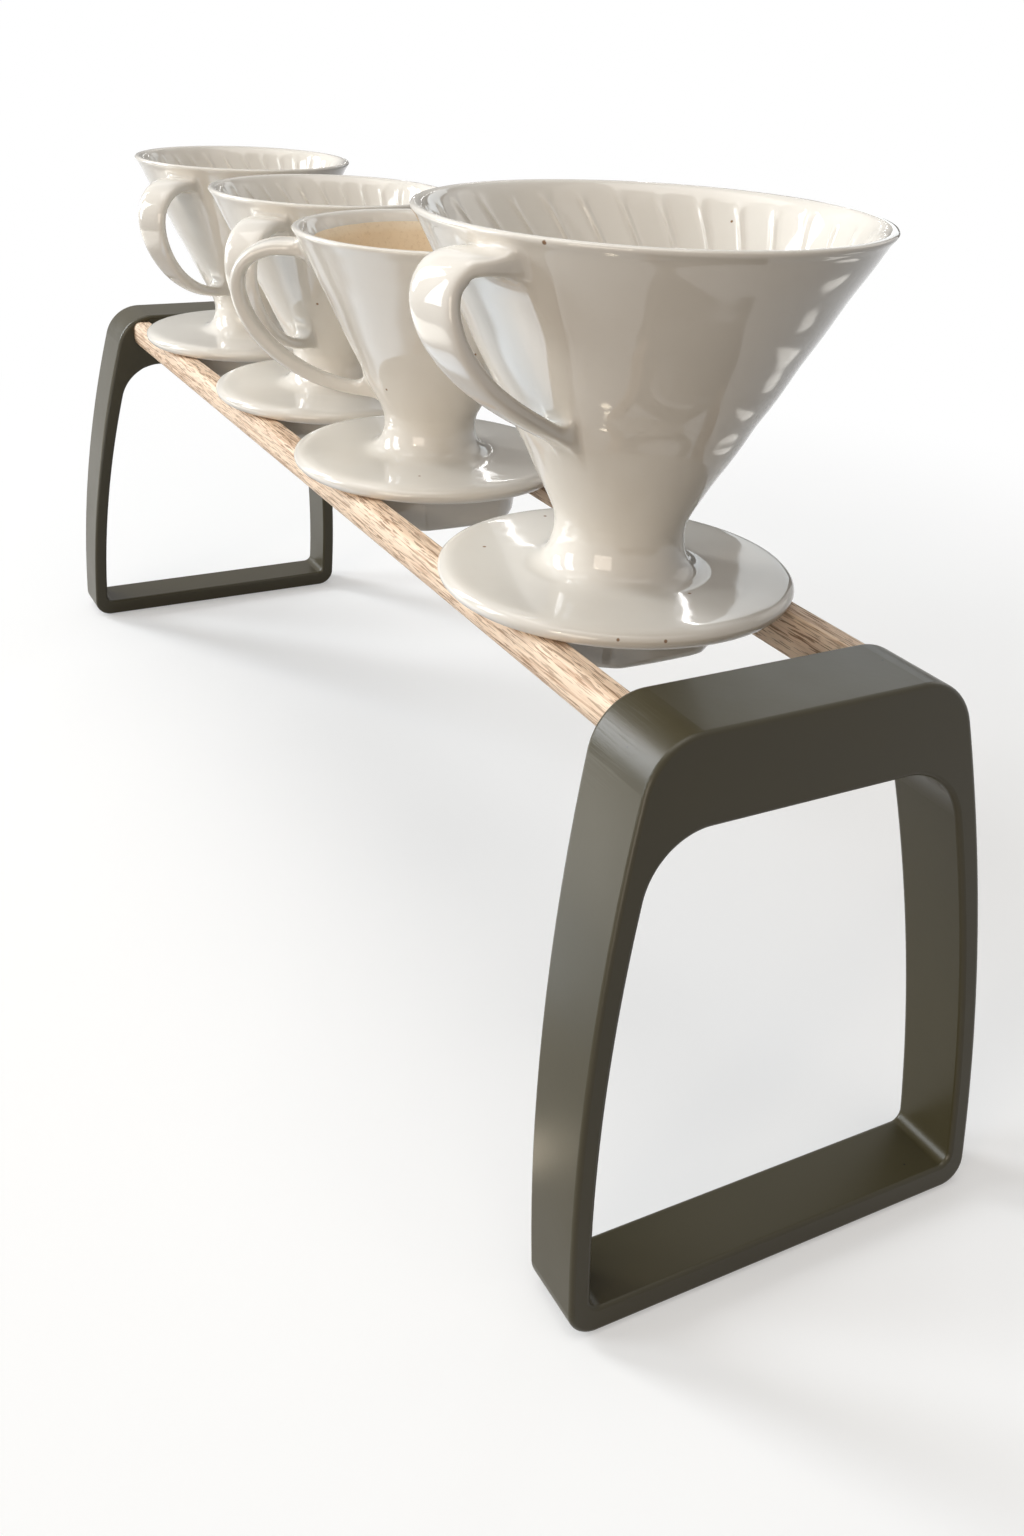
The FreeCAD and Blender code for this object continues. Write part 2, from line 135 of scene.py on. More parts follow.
add_window("left_window_near_pane", -66, 19, 3.2, (0.85, 2.2), 45.0, (0.88, 0.95, 1.0))
add_window("left_window_far_pane", -38, 24, 3.2, (0.75, 2.0), 70.0, (0.92, 0.96, 1.0))
add_window("right_window", 50.2, 18, 2.6, (0.66, 1.1), 3.2, (0.90, 0.96, 1.0))
add_window("right_slit_wide", 37.5, 18, 2.6, (0.009, 1.0), 0.36, WHITE, lean=23)
add_window("right_slit_thin", 26.5, 14, 2.6, (0.006, 0.85), 0.20, WHITE, lean=31)
add_window("right_wall", 85, 25, 2.6, (1.2, 1.2), 3.5, (1.0, 0.96, 0.90))
add_window("ceiling", -60, 80, 2.2, (1.6, 1.8), 19.5, (1.0, 0.975, 0.94))
add_window("ceiling_behind_camera", 170, 65, 2.2, (1.6, 1.6), 7.0, (1.0, 0.96, 0.91))
add_window("curtain_edge", -29, 35, 3.0, (0.08, 1.2), 4.0, (1.0, 0.86, 0.68))
add_window("room_return", -128, 8, 2.0, (1.0, 1.0), 14.5, (1.0, 0.87, 0.74))
add_window("small_lamp", -119, 20, 2.0, (0.10, 0.10), 1.5, LAMP_LIGHT)

# %% [markdown]
# The world and all the paints are made of nodes. One helper adds a node and links what feeds
# it, and short ones on top of it do sums, change a range and mix, so that each paint below
# reads as a few lines.

# %% Helpers for nodes
def add_node(tree, kind, **values):
    """New node; each value is a setting, an input's value, or the output that feeds that input."""
    node = tree.nodes.new(kind)
    for key, value in values.items():
        match = [s for s in node.inputs if s.name.lower() == key.replace("_", " ").lower()]
        if not match:
            setattr(node, key, value)
        elif isinstance(value, bpy.types.NodeSocket):
            tree.links.new(value, match[0])
        else:
            match[0].default_value = value
    return node


def maths(tree, operation, first, second):
    """Result of a Math node on two values, each of them an output or a number."""
    node = add_node(tree, "ShaderNodeMath", operation=operation)
    for socket, value in zip(node.inputs, (first, second)):
        if isinstance(value, (int, float)):
            socket.default_value = value
        else:
            tree.links.new(value, socket)
    return node.outputs[0]


def remap(tree, value, low, high, out_low=0.0, out_high=1.0, kind="SMOOTHSTEP"):
    """Value between low and high turned into a value between out_low and out_high."""
    ranger = add_node(tree, "ShaderNodeMapRange", interpolation_type=kind, Value=value,
                      From_Min=low, From_Max=high, To_Min=out_low, To_Max=out_high)
    return ranger.outputs["Result"]


def mix_shaders(tree, share, first, second):
    """Two shaders mixed by a share: 0 gives the first and 1 the second."""
    mixer = add_node(tree, "ShaderNodeMixShader", Fac=share)
    tree.links.new(first.outputs[0], mixer.inputs[1])
    tree.links.new(second.outputs[0], mixer.inputs[2])
    return mixer


# %% [markdown]
# The world is plain and pale, and white only where the camera, a reflection or a clear material
# looks at it.

# %% Paint the world
WORLD_LIGHT = 0.04       # strength of what the world adds to the lamps

world = bpy.data.worlds.new("pale_room")
scene.world = world
world.use_nodes = True
room = world.node_tree
room.nodes.clear()
rays = add_node(room, "ShaderNodeLightPath").outputs
seen = maths(room, "MAXIMUM", rays["Is Camera Ray"], rays["Is Transmission Ray"])
seen = maths(room, "MAXIMUM", seen, rays["Is Glossy Ray"])
lighting = add_node(room, "ShaderNodeBackground", Color=(1.0, 0.97, 0.93, 1.0), Strength=WORLD_LIGHT)
backdrop = add_node(room, "ShaderNodeBackground", Color=(*WHITE, 1.0), Strength=1.0)
pick = mix_shaders(room, seen, lighting, backdrop)
add_node(room, "ShaderNodeOutputWorld", Surface=pick.outputs[0])
print("world nodes:", len(room.nodes))

# %% [markdown]
# The floor is a wide pale disc. Close to the stand it is mostly matt paint and takes the soft
# shadow. Further out it turns into a plain white that is the same as the background, so no
# horizon shows. Towards the stand it gives back only as much light as a wooden bench would.

# %% Make the floor
FLOOR_RADIUS = 3.0
MATT_WITHIN = 0.30       # m from the stand's middle
WHITE_BEYOND = 0.75      # m from the stand's middle
WHITE_SHARE_NEAR = 0.35  # plain white mixed into the matt part
BENCH_TONE = 0.24        # what the stand gets back
FLOOR_TONE = 0.97        # what the camera and reflections see


def blank_paint(name):
    """Material with an empty node tree."""
    paint = bpy.data.materials.new(name)
    paint.use_nodes = True
    paint.node_tree.nodes.clear()
    return paint, paint.node_tree


def distance_from(tree, point):
    """How far each place is from a point, in metres."""
    source = add_node(tree, "ShaderNodeTexCoord")
    gap = add_node(tree, "ShaderNodeVectorMath", operation="DISTANCE", Vector=source.outputs["Object"])
    gap.inputs[1].default_value = point
    return gap.outputs["Value"]


shape = bmesh.new()
bmesh.ops.create_circle(shape, cap_ends=True, segments=96, radius=FLOOR_RADIUS)
bmesh.ops.translate(shape, vec=BENCH_MIDDLE, verts=shape.verts)
floor_mesh = bpy.data.meshes.new("floor")
shape.to_mesh(floor_mesh)
shape.free()
floor = add_object("floor", floor_mesh)

floor_paint, tree = blank_paint("floor_paint")
rays = add_node(tree, "ShaderNodeLightPath").outputs
shown = maths(tree, "MAXIMUM", rays["Is Camera Ray"], rays["Is Glossy Ray"])
tone = remap(tree, shown, 0.0, 1.0, BENCH_TONE, FLOOR_TONE, "LINEAR")
matt = add_node(tree, "ShaderNodeBsdfDiffuse", Color=tone)
white = add_node(tree, "ShaderNodeEmission", Color=(*WHITE, 1.0), Strength=1.0)
spread = remap(tree, distance_from(tree, BENCH_MIDDLE), MATT_WITHIN, WHITE_BEYOND, WHITE_SHARE_NEAR)
blend = mix_shaders(tree, maths(tree, "MULTIPLY", spread, shown), matt, white)
floor_mesh.materials.append(floor_paint)
print("floor radius", FLOOR_RADIUS, "m")

# %% [markdown]
# The outside of a cone that widens upwards never mirrors a lamp, only the bench. The windows
# throw pools of light on the bench: three narrow bars on the right, which are the pale patches
# on the large cone, and two wide ones on the left, the nearer one cool. Two sparks in front of
# the large dripper are the small lamp. All of them glow only for rays that come off a glossy
# surface.

# %% Pools of window light on the bench
WARM_LIGHT = (1.0, 0.97, 0.90)
COOL_LIGHT = (0.74, 0.87, 1.0)
POOL_EDGE = (0.6, 1.15)  # where a pool starts to fade and where it ends, in half sizes
POOLS = ((0.390, 0.100, -50, 0.011, 0.090, 1.7, WARM_LIGHT),
         (0.330, 0.115, -40, 0.012, 0.110, 1.7, WARM_LIGHT),
         (0.250, 0.100, -40, 0.009, 0.080, 1.7, WARM_LIGHT),
         (-0.095, 0.055, 40, 0.004, 0.012, 8.0, LAMP_LIGHT),
         (-0.085, 0.060, 40, 0.003, 0.010, 6.0, LAMP_LIGHT),
         (-0.175, 0.265, 0, 0.060, 0.150, 2.2, COOL_LIGHT),
         (-0.400, 0.550, 0, 0.180, 0.450, 3.6, WARM_LIGHT))


def pool_of_light(tree, x, y, turn, short, long, strength, colour):
    """Soft ellipse on the floor, in metres: its middle, two half sizes and its light.

    Turn, in degrees, is the way its short axis points.
    """
    source = add_node(tree, "ShaderNodeTexCoord")
    mapping = add_node(tree, "ShaderNodeMapping", vector_type="TEXTURE", Vector=source.outputs["Object"],
                       Location=(x, y, 0.0), Rotation=(0.0, 0.0, math.radians(turn)),
                       Scale=(short, long, 1.0))
    out = add_node(tree, "ShaderNodeVectorMath", operation="LENGTH", Vector=mapping.outputs["Vector"])
    soft = remap(tree, out.outputs["Value"], *POOL_EDGE, strength, 0.0)
    tinted = add_node(tree, "ShaderNodeVectorMath", operation="SCALE", Vector=colour, Scale=soft)
    return tinted.outputs["Vector"]


glow = pool_of_light(tree, *POOLS[0])
for pool in POOLS[1:]:
    total = add_node(tree, "ShaderNodeVectorMath", operation="ADD", Vector=glow)
    tree.links.new(pool_of_light(tree, *pool), total.inputs[1])
    glow = total.outputs["Vector"]
pools = add_node(tree, "ShaderNodeEmission", Color=glow, Strength=rays["Is Glossy Ray"])
lit = add_node(tree, "ShaderNodeAddShader")
tree.links.new(blend.outputs[0], lit.inputs[0])
tree.links.new(pools.outputs[0], lit.inputs[1])
add_node(tree, "ShaderNodeOutputMaterial", Surface=lit.outputs[0])
floor_paint.cycles.emission_sampling = "NONE"
print("pools of light:", len(POOLS))

# %% [markdown]
# Glaze and paint also mirror what stands round the bench. A plain grey card behind the row is
# the far wall of the room, and the windows and slits stand out against it in the glaze. It gets
# lighter towards its top, where it ends in the white of the room, and darker towards the right
# window. Only reflections see the card.

# %% Stand a grey card behind the row
CARD_DISTANCE = 2.9
CARD_HEIGHT = 2.4
CARD_AZIMUTHS = (-25, 62)
CARD_STEPS = 24
CARD_COLOUR = (1.0, 0.975, 0.95, 1.0)
DARK_BELOW = 0.75          # height up to which the card is at its darkest
CARD_LIGHT = (0.34, 1.6)   # strength up to there, and at the top
WINDOW_SIDE = (1.6, 2.05)  # X over which the card darkens towards the right window
WINDOW_SIDE_SHARE = 0.40   # share of the strength that is left there

start, end = (math.radians(a) for a in CARD_AZIMUTHS)
shape = bmesh.new()
way = Vector((math.sin(start), math.cos(start), 0.0))
foot = shape.verts.new(way * CARD_DISTANCE + Vector(BENCH_MIDDLE))
head = shape.verts.new(foot.co + Vector((0.0, 0.0, CARD_HEIGHT)))
post = shape.edges.new((foot, head))
bmesh.ops.spin(shape, geom=[foot, head, post], axis=(0, 0, 1), cent=BENCH_MIDDLE, steps=CARD_STEPS,
               angle=start - end)
card_mesh = bpy.data.meshes.new("grey_card")
shape.to_mesh(card_mesh)
shape.free()
card = add_object("grey_card", card_mesh)
card.visible_camera = False
card.visible_diffuse = False
card.visible_shadow = False

card_paint, tree = blank_paint("card_paint")
source = add_node(tree, "ShaderNodeTexCoord")
place = add_node(tree, "ShaderNodeSeparateXYZ", Vector=source.outputs["Object"]).outputs
climb = remap(tree, place["Z"], DARK_BELOW, CARD_HEIGHT, *CARD_LIGHT, "LINEAR")
along = remap(tree, place["X"], *WINDOW_SIDE, 1.0, WINDOW_SIDE_SHARE, "LINEAR")
strength = maths(tree, "MULTIPLY", climb, along)
grey = add_node(tree, "ShaderNodeEmission", Color=CARD_COLOUR, Strength=strength)
add_node(tree, "ShaderNodeOutputMaterial", Surface=grey.outputs[0])
card_mesh.materials.append(card_paint)
print("card faces", len(card_mesh.polygons))

# %% [markdown]
# ## Finishes
# Each finish is built from nodes that read Object coordinates. Every piece keeps its place in
# its mesh, so these coordinates are metres on the real stand, and a scale of 1000 is one
# millimetre. A colour that is the same all over goes straight on the shader.

# %% Helpers for finishes
SPOT_SOFTNESS = 0.5      # share of a spot's radius over which it fades


def new_finish(name):
    """Material with a surface shader; gives the material, its node tree and the shader."""
    finish = bpy.data.materials.new(name)
    finish.use_nodes = True
    nodes = finish.node_tree
    return finish, nodes, nodes.nodes["Principled BSDF"]


def place_coordinates(tree, scale=(1.0, 1.0, 1.0)):
    """Object coordinates through a mapping that stretches the pattern."""
    source = add_node(tree, "ShaderNodeTexCoord")
    mapping = add_node(tree, "ShaderNodeMapping", Vector=source.outputs["Object"], Scale=scale)
    return mapping.outputs["Vector"]


def noise(tree, vector, scale, detail=4.0, roughness=0.55, distortion=0.0):
    """Soft random pattern, from 0 to 1 and mostly round 0.5."""
    texture = add_node(tree, "ShaderNodeTexNoise", Vector=vector, Scale=scale, Detail=detail,
                       Roughness=roughness, Distortion=distortion)
    return texture.outputs["Fac"]


def streaks(tree, across, along, detail, roughness=0.55, distortion=0.0):
    """Noise drawn out along Y; across and along are how often it changes in a metre."""
    at = place_coordinates(tree, (across, along, across))
    return noise(tree, at, 1.0, detail, roughness, distortion)


def mix_colours(tree, share, first, second):
    """Colours or colour outputs mixed by a share: 0 gives the first and 1 the second."""
    mixer = add_node(tree, "ShaderNodeMix", data_type="RGBA", Factor=share)
    for socket, value in zip([s for s in mixer.inputs if s.type == "RGBA"], (first, second)):
        if isinstance(value, tuple):
            socket.default_value = (*value, 1.0)
        else:
            tree.links.new(value, socket)
    return [s for s in mixer.outputs if s.type == "RGBA"][0]


def bump(tree, shader, height, distance, strength):
    """Relief from a height; distance is its depth in metres."""
    relief = add_node(tree, "ShaderNodeBump", Height=height, Distance=distance, Strength=strength)
    tree.links.new(relief.outputs["Normal"], shader.inputs["Normal"])


def dress(tree, shader, colour, roughness):
    """Colour and roughness patterns put on the shader."""
    tree.links.new(colour, shader.inputs["Base Color"])
    tree.links.new(roughness, shader.inputs["Roughness"])


def near_point(tree, point_mm, radius_mm, softness):
    """1 inside a small ball round a point, 0 outside it, soft over a share of the radius."""
    gap = distance_from(tree, tuple(v * MM for v in point_mm))
    return remap(tree, gap, radius_mm * MM * (1 - softness), radius_mm * MM, 1.0, 0.0)


def add_spots(tree, pattern, spots):
    """The pattern, and 1 in each small ball; a spot is a place and a radius in mm."""
    for place_mm, radius_mm in spots:
        pattern = maths(tree, "MAXIMUM", pattern, near_point(tree, place_mm, radius_mm, SPOT_SOFTNESS))
    return pattern


# %% [markdown]
# **Glaze.** A warm white glossy glaze over stoneware. It pools and thins, so its colour and its
# surface wander softly, and iron specks from the clay show through as small brown dots. The
# smallest are the middles of a few cells of a Voronoi pattern, and the larger ones have places.

# %% Glaze
GLAZE_THICK = (0.775, 0.74, 0.68)
GLAZE_THIN = (0.75, 0.71, 0.645)
IRON_BROWN = (0.25, 0.135, 0.06)
SPECK_CELL = 15.0            # mm between possible specks
SPECK_RADIUS = 0.30          # mm
SPECK_CHOICE = (0.80, 0.85)  # a cell has a speck where its random value is past these
LARGE_SPECKS = (((-46.5, 72.0, 241.5), 0.65), ((43.5, 129.5, 235.5), 0.45), ((-27.5, 127.0, 155.7), 0.65),
                ((1.0, 143.5, 155.7), 0.65), ((7.0, 78.0, 155.7), 0.65), ((-24.0, 63.0, 154.0), 0.60),
                ((-13.5, 58.0, 154.0), 0.60), ((-18.0, 190.0, 155.7), 0.55), ((-21.5, 208.0, 178.0), 0.50),
                ((-14.5, 285.0, 188.5), 0.60), ((-1.0, 188.5, 191.5), 0.60), ((-2.5, 190.0, 188.5), 0.50))

glaze, tree, shader = new_finish("warm_white_glaze")
shader.inputs["Specular IOR Level"].default_value = 0.55
at = place_coordinates(tree)
cloud = noise(tree, at, 28.0, 3.0)
body_colour = mix_colours(tree, remap(tree, cloud, 0.35, 0.65), GLAZE_THICK, GLAZE_THIN)
cells = add_node(tree, "ShaderNodeTexVoronoi", Vector=at, Scale=1.0 / (SPECK_CELL * MM))
radius = SPECK_RADIUS / SPECK_CELL
dots = remap(tree, cells.outputs["Distance"], 0.5 * radius, radius, 1.0, 0.0)
chosen = add_node(tree, "ShaderNodeSeparateColor", Color=cells.outputs["Color"])
few = maths(tree, "MULTIPLY", dots, remap(tree, chosen.outputs["Red"], *SPECK_CHOICE))
speckled = mix_colours(tree, add_spots(tree, few, LARGE_SPECKS), body_colour, IRON_BROWN)
fine = noise(tree, at, 220.0, 3.0)
dress(tree, shader, speckled, remap(tree, fine, 0.3, 0.7, 0.03, 0.065))
slow = noise(tree, at, 42.0, 2.0, 0.4)
bump(tree, shader, slow, 0.0012, 0.10)
print("glaze nodes:", len(tree.nodes))

# %% [markdown]
# ** Frame paint.** A satin grey-green powder coat. It has a fine orange-peel skin, it is slightly
# polished on the corner that hands take hold of, and fine brushed scratches show there. They are
# painted lighter: partly the wear itself and partly a painted highlight of the window on that corner.

# %% Frame paint
PAINT_LIGHT = (0.048, 0.040, 0.018)
PAINT_DARK = (0.042, 0.035, 0.0155)
# Lighter colour of the scratches: worn paint, and also a painted highlight on the handled corner.
RUBBED_AND_SHEEN_COLOUR = (0.19, 0.185, 0.16)
NICK_COLOUR = (0.010, 0.009, 0.008)
# This share also sets how strong the painted highlight in the scratches is.
SCUFF_AND_SHEEN_SHARE = 0.16       # how much of the rubbed colour a scratch shows
HANDLED_CORNER = (-45.0, 33.0, 148.0)
HANDLED_RADIUS = 17.0
HANDLED_SOFTNESS = 0.9
PAINT_NICKS = (((30.2, 30.1, 153.4), 0.45), ((47.8, -4.0, 8.2), 0.4), ((-40.5, 31.0, 150.4), 0.35),
               ((-44.0, 26.0, 147.5), 0.3), ((12.0, 24.5, 153.4), 0.25))

frame_paint, tree, shader = new_finish("satin_grey_green_paint")
at = place_coordinates(tree)
tone = noise(tree, at, 14.0, 4.0)
paint_colour = mix_colours(tree, remap(tree, tone, 0.3, 0.7), PAINT_LIGHT, PAINT_DARK)
handled = near_point(tree, HANDLED_CORNER, HANDLED_RADIUS, HANDLED_SOFTNESS)
brushed = streaks(tree, 2600.0, 45.0, 3.0, 0.7)
# Scratches near the handled corner. Their lighter colour is partly wear and partly painted highlight.
scuffs_and_sheen = maths(tree, "MULTIPLY", remap(tree, brushed, 0.48, 0.62), handled)
paint_colour = mix_colours(tree, maths(tree, "MULTIPLY", scuffs_and_sheen, SCUFF_AND_SHEEN_SHARE), paint_colour, RUBBED_AND_SHEEN_COLOUR)
paint_colour = mix_colours(tree, add_spots(tree, 0.0, PAINT_NICKS), paint_colour, NICK_COLOUR)
shader.inputs["Specular IOR Level"].default_value = 0.34
polish = maths(tree, "SUBTRACT", remap(tree, noise(tree, at, 60.0, 3.0), 0.3, 0.7, 0.305, 0.345),
               maths(tree, "MULTIPLY", handled, 0.02))
dress(tree, shader, paint_colour, maths(tree, "ADD", polish, maths(tree, "MULTIPLY", scuffs_and_sheen, 0.12)))
peel = noise(tree, at, 500.0, 1.0)
grain = maths(tree, "ADD", peel, maths(tree, "MULTIPLY", scuffs_and_sheen, 0.5))
bump(tree, shader, grain, 0.0001, 0.10)
print("paint nodes:", len(tree.nodes))

# %% [markdown]
# **Oak.** Pale oiled oak, sawn along the grain. Growth rings give wide soft bands and narrow
# brown veins, and the open pores are short dark dashes along the rail. All of them are noise
# stretched along Y.

# %% Oak
OAK_PALE = (0.86, 0.67, 0.50)
OAK_DEEP = (0.75, 0.545, 0.38)
OAK_FIBRE = (0.85, 0.70, 0.54)
OAK_VEIN = (0.44, 0.25, 0.135)
OAK_PORE = (0.22, 0.12, 0.06)

oak, tree, shader = new_finish("oiled_oak")
bands = streaks(tree, 240.0, 6.0, 5.0, 0.6, 0.4)
veins = streaks(tree, 950.0, 22.0, 4.0, 0.65, 0.3)
pores = streaks(tree, 2300.0, 120.0, 2.0, 0.5)
fibre = streaks(tree, 5200.0, 160.0, 2.0)
wood = mix_colours(tree, remap(tree, bands, 0.35, 0.65), OAK_PALE, OAK_DEEP)
wood = mix_colours(tree, remap(tree, fibre, 0.3, 0.7, 0.0, 0.35), wood, OAK_FIBRE)
wood = mix_colours(tree, remap(tree, veins, 0.50, 0.64, 0.0, 0.70), wood, OAK_VEIN)
dark = maths(tree, "MULTIPLY", remap(tree, pores, 0.535, 0.575), remap(tree, bands, 0.35, 0.6, 0.5, 1.0))
wood = mix_colours(tree, maths(tree, "MULTIPLY", dark, 0.85), wood, OAK_PORE)
dress(tree, shader, wood, remap(tree, pores, 0.4, 0.7, 0.48, 0.7))
bump(tree, shader, maths(tree, "SUBTRACT", fibre, dark), 0.0003, 0.4)
print("oak nodes:", len(tree.nodes))

# %% [markdown]
# **Steel, rubber and paper.** The screws are plain turned steel with fine rings, the foot strips
# matt rubber with a little dust, and the filter unbleached paper with long fibres.

# %% Steel, rubber and paper
STEEL_COLOURS = ((0.50, 0.49, 0.47), (0.62, 0.61, 0.59))
RUBBER_COLOURS = ((0.022, 0.022, 0.022), (0.06, 0.058, 0.055))
PAPER_COLOURS = ((0.87, 0.72, 0.525), (0.80, 0.64, 0.45))
PAPER_FIBRE = (0.58, 0.42, 0.26)

screw_steel, tree, shader = new_finish("turned_screw_steel")
shader.inputs["Metallic"].default_value = 1.0
rings = noise(tree, place_coordinates(tree, (400.0, 400.0, 5000.0)), 1.0, 2.0)
steel = mix_colours(tree, rings, *STEEL_COLOURS)
dress(tree, shader, steel, remap(tree, rings, 0.3, 0.7, 0.28, 0.42))
bump(tree, shader, rings, 0.00005, 0.3)

foot_rubber, tree, shader = new_finish("matt_foot_rubber")
dust = noise(tree, place_coordinates(tree), 700.0, 4.0)
dusty = mix_colours(tree, remap(tree, dust, 0.45, 0.75), *RUBBER_COLOURS)
dress(tree, shader, dusty, remap(tree, dust, 0.3, 0.7, 0.75, 0.9))
bump(tree, shader, dust, 0.00008, 0.4)

filter_paper, tree, shader = new_finish("unbleached_filter_paper")
at = place_coordinates(tree)
pulp = noise(tree, at, 900.0, 5.0, 0.65)
blotch = noise(tree, at, 60.0, 3.0)
paper_colour = mix_colours(tree, remap(tree, blotch, 0.3, 0.7), *PAPER_COLOURS)
paper_colour = mix_colours(tree, remap(tree, pulp, 0.5, 0.75, 0.0, 0.4), paper_colour, PAPER_FIBRE)
dress(tree, shader, paper_colour, remap(tree, pulp, 0.3, 0.7, 0.82, 0.95))
bump(tree, shader, pulp, 0.0001, 0.5)
print("materials in the file:", len(bpy.data.materials))

# %% [markdown]
# ## Frames, rails, screws and feet
# These solids already have the right shape, with fine facets and smooth shading, so they keep
# their CAD meshes and only get the finishes above.

# %% Give the solids their finishes
FINISH_OF_SLOT = {"frame_paint": frame_paint, "oak": oak, "screw_steel": screw_steel,
                  "foot_rubber": foot_rubber, "glaze": glaze, "filter_paper": filter_paper}
slot_of = {part["node"]: part["material_slot"] for part in frame["record"]["subparts"]}
for node, solid in frame["nodes"].items():
    solid.data.materials.clear()
    solid.data.materials.append(FINISH_OF_SLOT[slot_of[node]])
print("finished solids:", sorted(frame["nodes"]))

# %% [markdown]
# ## Drippers
# A dripper is one fired piece: a saucer with a skirt under it, a narrow neck, a wide cone with
# thin spiral ribs inside, and a strap handle pulled from clay and joined on wet. It could be a
# revolved body with the handle joined by a boolean, but that leaves a sharp line at the joint.
# Here the body is spun from one closed line, two windows are opened in the cone wall, and the
# handle's end rings are bridged into them. A subdivision surface then rounds the joints the way
# a finger smooths wet clay.

# %% Sizes of the two kinds of dripper, in mm from the top of the rails
RAIL_TOP = 150.8
WALL = 3.4
SAUCER = 5.4
SKIRT_DEPTH = 14.0
SKIRT_RADIUS = 29.0
SKIRT_FLAT = 25.5        # half width across the two flats
SKIRT_BORE = 22.0
LARGE = {"rim": 57.4, "height": 92.0, "saucer": 48.5, "neck": 17.0, "neck_height": 18.0, "outlet": 8.7,
         "top_rows": (88.2, 85.2, 82.2), "foot_rows": (50.0, 47.8, 45.6, 43.4, 41.2),
         "strap": ((56.2, 85.2, 17.5), (61.5, 84.6, 16.5), (65.6, 81.2, 15.5), (67.0, 75.8, 14.5),
                   (65.4, 68.8, 13.0), (59.8, 61.2, 11.0), (51.7, 55.0, 9.2), (42.8, 49.9, 7.8),
                   (36.2, 46.6, 7.0)), "thick": (4.8, 4.0), "foot_columns": 6}
SMALL = {"rim": 43.6, "height": 72.0, "saucer": 45.0, "neck": 14.5, "neck_height": 15.5, "outlet": 7.7,
         "top_rows": (67.6, 64.9, 62.2), "foot_rows": (27.0, 24.0, 21.0),
         "strap": ((42.8, 64.8, 14.5), (49.0, 64.8, 13.8), (56.0, 62.2, 13.0), (60.2, 57.2, 12.2),
                   (60.6, 50.0, 11.4), (56.4, 41.0, 10.2), (48.0, 32.6, 8.8), (36.4, 26.4, 7.4),
                   (24.4, 23.4, 6.4)), "thick": (4.6, 4.0), "foot_columns": 8}
print("rim widths in mm:", 2 * LARGE["rim"], 2 * SMALL["rim"])

# %% [markdown]
# The closed line goes once round the wall: up the inside of the cone, over the lip, down the
# outside, round the saucer and the skirt, and back under the saucer to the outlet. Points that
# sit close together near a corner keep it crisp when the surface is subdivided.

# %% Closed line of the dripper's wall
def cone_slope(size):
    """Radius that the cone gains for each mm of height."""
    return (size["rim"] - size["neck"]) / (size["height"] - size["neck_height"])


def cone_radius(size, z):
    """Outside radius of the cone at height z."""
    return size["rim"] - (size["height"] - z) * cone_slope(size)


def spaced(start, end, count):
    """Heights from start to end, without the end."""
    return [start + (end - start) * i / count for i in range(count)]


def wall_line(size):
    """Points (radius, height) once round the wall, inside going up first.

    The inside of the cone runs out into the outlet at the height low, and the top of the
    saucer is flat at the height deck.
    """
    top = size["height"]
    outlet = size["outlet"]
    neck = size["neck"]
    low = top - (size["rim"] - WALL - outlet) / cone_slope(size)
    inside = [(outlet, 0.8), (outlet, low * 0.45), (outlet, low - 0.8)]
    for z in spaced(low + 1.6, top - 7.0, 16) + [top - 7.0, top - 4.6, top - 2.6]:
        inside.append((cone_radius(size, z) - WALL, z))
    lip = [(size["rim"] - WALL + 0.1, top - 0.8), (size["rim"] - WALL * 0.42, top - 0.05),
           (size["rim"] + 0.25, top - 0.9)]
    upper, lower = size["top_rows"], size["foot_rows"]
    heights = [top - 2.3] + list(upper) + spaced(upper[-1], lower[0], 6)[1:] + list(lower)
    heights += spaced(lower[-1], size["neck_height"] + 1.5, 4)[1:] + [size["neck_height"] + 1.5]
    outside = [(cone_radius(size, z), z) for z in heights]
    saucer = size["saucer"]
    deck = SAUCER - 0.5
    flare = [(neck + 0.1, size["neck_height"] - 2.5), (neck + 1.1, 8.9), (neck + 3.1, 6.4),
             (neck + 5.8, SAUCER - 0.25), (neck + 8.0, deck), (neck + 10.5, deck)]
    plate = [(saucer - 14.0, deck), (saucer - 6.0, deck), (saucer - 3.6, deck),
             (saucer - 1.1, SAUCER - 1.0), (saucer + 0.15, SAUCER / 2), (saucer - 1.1, 0.35),
             (saucer - 3.2, 0.0), (saucer - 9.0, 0.0), (SKIRT_RADIUS + 1.4, 0.0)]
    skirt = [(SKIRT_RADIUS, -0.4), (SKIRT_RADIUS, -2.4), (SKIRT_RADIUS, -SKIRT_DEPTH / 2),
             (SKIRT_RADIUS, 1.2 - SKIRT_DEPTH), (SKIRT_RADIUS - 0.9, -SKIRT_DEPTH),
             (SKIRT_BORE + 0.9, -SKIRT_DEPTH), (SKIRT_BORE, 1.2 - SKIRT_DEPTH),
             (SKIRT_BORE, -SKIRT_DEPTH / 2), (SKIRT_BORE, -1.4), (SKIRT_BORE - 0.5, 0.0)]
    under = [(r, 0.0) for r in (SKIRT_BORE - 3.5, 15.0, 12.0, outlet + 0.8)]
    return inside + lip + outside + flare + plate + skirt + under


print("points round the wall:", len(wall_line(LARGE)), "and", len(wall_line(SMALL)))

# %% [markdown]
# The spin makes 150 columns, five to a rib. On the inside the columns are turned step by step
# towards the outlet, so that they follow the spiral, and every fifth column is lifted off the
# wall. The two on each side are drawn close to it, which makes each rib a thin soft ridge.

